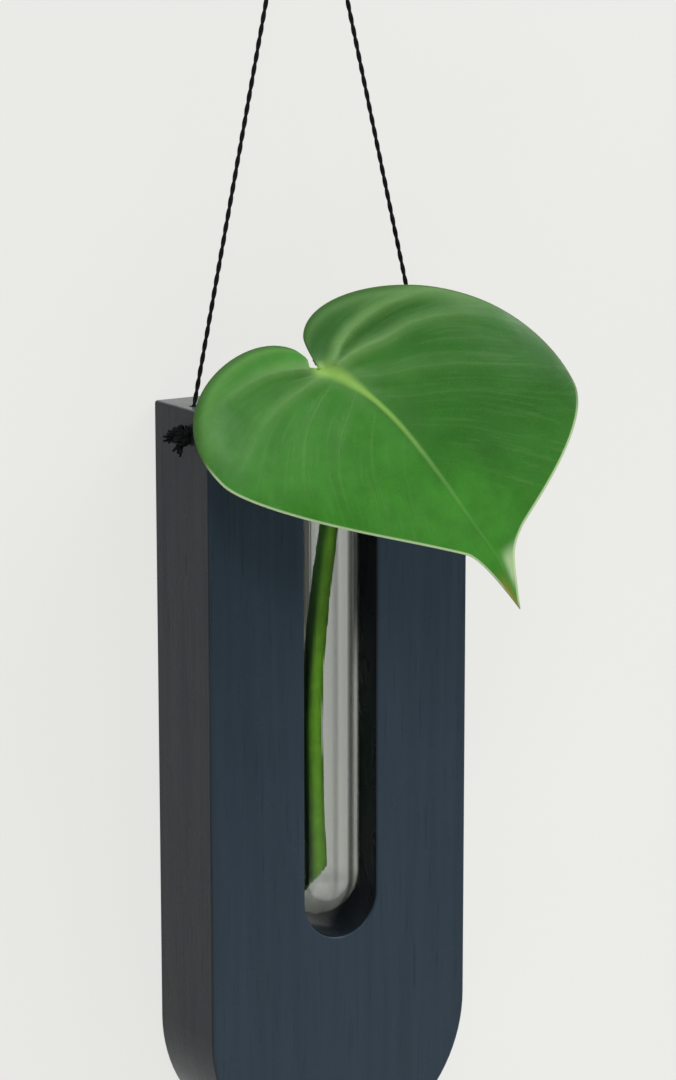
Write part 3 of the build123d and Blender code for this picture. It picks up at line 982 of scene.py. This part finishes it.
def makeStalk():
    guide = readSpline([Vector(p) * mm for p in stalk["route"]], stalk["splineSteps"])
    line = evenSteps(guide, stalk["step"])
    radii = [readTable(stalk["radii"], i / (len(line) - 1)) * mm for i in range(len(line))]
    bm = bmesh.new()
    addStrand(bm, line, radii, resolution=stalk["roundness"])
    bmesh.ops.remove_doubles(bm, verts=bm.verts[:], dist=0.005 * mm)
    cut = bmesh.ops.bisect_plane(bm, geom=bm.verts[:] + bm.edges[:] + bm.faces[:], clear_outer=True,
                                 plane_co=Vector(stalk["cut"]) * mm, plane_no=stalk["cutFacing"])
    bmesh.ops.edgeloop_fill(bm, edges=[e for e in cut["geom_cut"] if isinstance(e, bmesh.types.BMEdge)])
    bmesh.ops.recalc_face_normals(bm, faces=bm.faces[:])
    joint, alongRib, toRight, upper = leafFrame()
    for vert in bm.verts:
        # the stalk's end goes into the blade, but not through it
        off = vert.co / mm - joint
        over = off.dot(upper) - domeHeight(off.dot(alongRib), off.dot(toRight)) + stalk["underTop"]
        if over > 0:
            vert.co -= upper * (over * mm)
    bm.normal_update()
    facingLight, litSide = bm.verts.layers.float.new("facingLight"), Vector(stalk["litSide"])
    for vert in bm.verts:
        vert[facingLight] = vert.normal.dot(litSide)
    addPiece("leafStalk", bm, "cutting", "green_stem", stalkMaterial(), replaced=["leaf_stem"])


makeStalk()
print("stalk grown")


# wall and floor behind and below, each seen from its front only

stage = {
    "wallPaint": paint(238, 238, 235), "floorPaint": paint(226, 225, 222),
    # seen through the glass, the wall is painted darker and browner, as painted shade in the slot
    "throughGlass": paint(186, 180, 176), "patchy": 0.98,
    "wallPlace": 0.6 * mm, "floorPlace": -0.95,
    "size": 9.0,
    "wallGlow": 0.85,  # share of the wall's paleness that no shadow dims
    # behind the tube there is less of it, and least at the upper left, in the block's and the leaf's shade
    "slotGlow": (0.08, 0.70), "shadeAcross": (8.4 * mm, 9.8 * mm), "shadeHeight": (-205 * mm, -245 * mm),
}


def stageMaterial(name, colour, glow):
    material, shader, coords = newMaterial(name, Roughness=0.85, Specular_IOR_Level=0.2)
    grain = addNoise(coords, Scale=160.0, Detail=6.0)
    soft = addNoise(coords, Scale=3.0, Detail=3.0)
    dim = tuple(c * stage["patchy"] for c in colour[:3]) + (1.0,)
    pale = addMix(addRange(soft, 0.35, 0.65), colour, dim)
    tree = shader.id_data
    rays = addNode("LightPath", tree=tree).outputs
    body = addMix(rays["Is Transmission Ray"], pale, stage["throughGlass"])
    plug(shader, Base_Color=body, Normal=addBump(grain, strength=0.12, depth=0.4 * mm))
    spot = addSplit(coords)
    lit = addMath("MAXIMUM", addRange(spot["X"], *stage["shadeAcross"]),
                  addRange(spot["Z"], *stage["shadeHeight"]))
    inSlot = addRange(lit, 0.0, 1.0, *stage["slotGlow"])
    dimmed = addProduct(rays["Is Transmission Ray"], addMath("SUBTRACT", 1.0, inSlot))
    seen = addProduct(addMath("MAXIMUM", rays["Is Camera Ray"], rays["Is Glossy Ray"]), glow,
                      addMath("SUBTRACT", 1.0, dimmed))
    plain = addNode("Emission", {"Color": pale, "Strength": 1.0}).outputs[0]
    front = mixShaders(seen, shader.outputs[0], plain)
    behind = addNode("NewGeometry", tree=tree).outputs["Backfacing"]
    clear = addNode("BsdfTransparent", tree=tree).outputs[0]
    plug(tree.nodes["Material Output"], Surface=mixShaders(behind, front, clear))
    return material


def makeStage(name, colour, glow, turn, place):
    bm = bmesh.new()
    bmesh.ops.create_grid(bm, x_segments=4, y_segments=4, size=stage["size"] / 2)
    bmesh.ops.rotate(bm, matrix=Matrix.Rotation(radians(turn), 3, "X"), verts=bm.verts[:])
    bmesh.ops.translate(bm, vec=place, verts=bm.verts[:])
    plane = addMesh(name, bm, stageMaterial(name, colour, glow))
    return plane


backWall = makeStage("backWall", stage["wallPaint"], stage["wallGlow"], 90, (0, stage["wallPlace"], 0))
backWall.visible_diffuse = backWall.visible_shadow = False
paleFloor = makeStage("paleFloor", stage["floorPaint"], 0.0, 0, (0, 0, stage["floorPlace"]))
paleFloor.visible_glossy = paleFloor.visible_transmission = False
print("wall and floor set")


# soft light: an even room that is dimmer below, one broad lamp from the right and a weak one from the left

light = {
    # strength of the room's light, and the span of upward slopes over which each comes in
    "room": 0.42, "roomBelow": 0.06, "roomSpan": (-0.10, 0.15),
    "roomAbove": 1.1, "aboveSpan": (0.45, 1.0),
    "nearFloor": 1.3, "floorSpan": (-0.25, -0.42),
    # name, place, size and power
    "lamps": [("windowRight", (1.45, -0.85, 1.5), 1.3, 36.0), ("fillLeft", (-0.83, -1.55, 1.4), 0.55, 8.0)],
    "aim": (0.0, -0.02, -0.22),
    "backdrop": paint(229, 229, 227),
}


def makeRoom():
    world = bpy.data.worlds.new("room")
    world.use_nodes = True
    scene.world = world
    tree = world.node_tree
    rays = addNode("LightPath", tree=tree).outputs
    bounces = addMath("ADD", rays["Diffuse Depth"], rays["Glossy Depth"])
    straight = addMath("LESS_THAN", bounces, 0.5)
    seen = addMath("MAXIMUM", rays["Is Camera Ray"], addProduct(rays["Is Transmission Ray"], straight))
    height = addSplit(addNode("TexCoord", tree=tree).outputs["Generated"])["Z"]
    lower = addRange(height, *light["roomSpan"], light["roomBelow"], light["room"])
    upper = addRange(height, *light["aboveSpan"], 0.0, light["roomAbove"] - light["room"])
    under = addRange(height, *light["floorSpan"], 0.0, light["nearFloor"])
    plain = tree.nodes["Background"]
    plain.inputs["Color"].default_value = (1, 1, 1, 1)
    plug(plain, Strength=addChain("ADD", lower, upper, under))
    pale = addNode("Background", {"Color": light["backdrop"], "Strength": 1.0}, tree).outputs[0]
    plug(tree.nodes["World Output"], Surface=mixShaders(seen, plain.outputs[0], pale))


def makeLamps():
    for name, place, size, power in light["lamps"]:
        data = bpy.data.lights.new(name, "AREA")
        data.size = size
        data.energy = power
        lamp = addObject(name, data)
        lamp.location = place
        aim = Vector(light["aim"]) - lamp.location
        lamp.rotation_euler = aim.to_track_quat("-Z", "Y").to_euler()


makeRoom()
makeLamps()
print("lights on")
